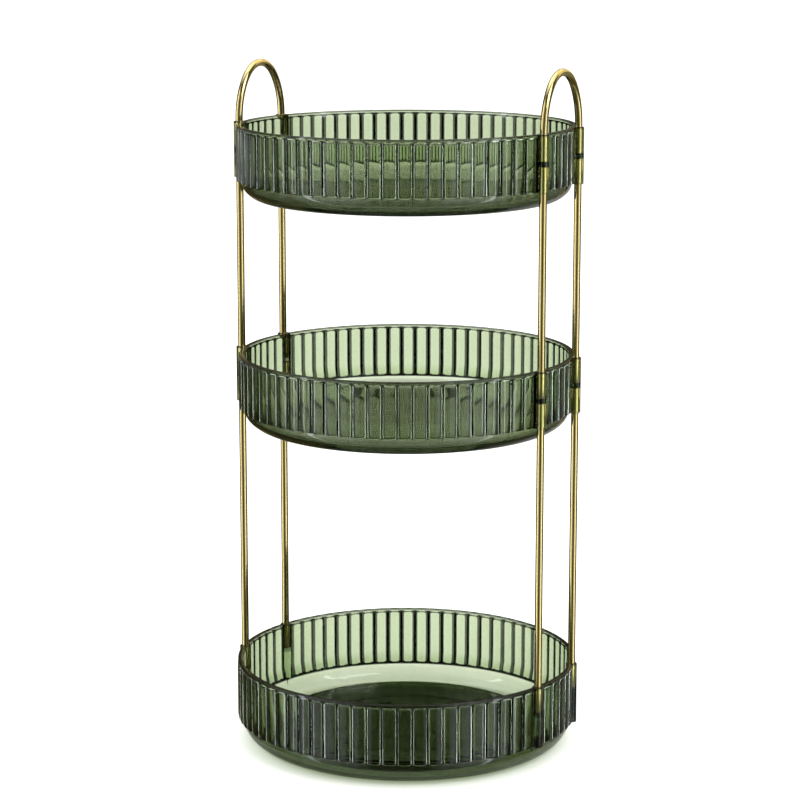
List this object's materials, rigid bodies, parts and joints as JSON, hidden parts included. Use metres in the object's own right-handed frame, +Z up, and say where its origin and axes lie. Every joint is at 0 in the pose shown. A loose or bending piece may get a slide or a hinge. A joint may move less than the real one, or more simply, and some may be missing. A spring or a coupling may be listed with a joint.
{
  "type": "rotating makeup organizer",
  "caption": "Tall countertop organizer: open round ribbed trays stacked on thin metal rods, with arch handles on top, turning on a low ball-bearing turntable.",
  "frame": {"origin": "on the table surface, under the centre of the turntable", "axes": "+Z up along the turning axis; +X towards the middle of the right-hand handle; the handles stand at +X and -X"},
  "size_m": [0.2308, 0.2308, 0.4583],
  "materials": {
    "tray_plastic": "clear dark green moulded plastic, polished",
    "gold_plating": "polished gold plating",
    "turntable_steel": "zinc-plated pressed sheet, satin",
    "foot_rubber": "matt black rubber pads",
    "ball_steel": "polished bearing steel",
    "cage_plastic": "natural moulded plastic",
    "screw_steel": "zinc-plated",
    "rivet_steel": "zinc-plated"
  },
  "bodies": {
    "base": {"turntable_base": "turntable_steel", "anti_slip_feet": "foot_rubber", "pivot_rivet": "rivet_steel", "pivot_washer": "rivet_steel"},
    "bearing": {"ball_cage": "cage_plastic", "bearing_balls": "ball_steel"},
    "tower": {"bottom_tray": "tray_plastic", "middle_tray": "tray_plastic", "top_tray": "tray_plastic", "right_handle": "gold_plating", "left_handle": "gold_plating", "turntable_top_plate": "turntable_steel", "fixing_screws": "screw_steel", "lower_rod_right_front": "gold_plating", "lower_rod_right_back": "gold_plating", "lower_rod_left_back": "gold_plating", "lower_rod_left_front": "gold_plating", "upper_rod_right_front": "gold_plating", "upper_rod_right_back": "gold_plating", "upper_rod_left_back": "gold_plating", "upper_rod_left_front": "gold_plating"}
  },
  "joints": [
    {"name": "turntable_spin", "type": "hinge", "parent": "base", "child": "tower", "pos_m": [0, 0, 0.0053], "axis": [0, 0, 1], "continuous": true},
    {"name": "cage_spin", "type": "hinge", "parent": "base", "child": "bearing", "pos_m": [0, 0, 0.0035], "axis": [0, 0, 1], "continuous": true}
  ],
  "couplings": [
    {"joint": "cage_spin", "follows": "turntable_spin", "ratio": 0.5}
  ]
}
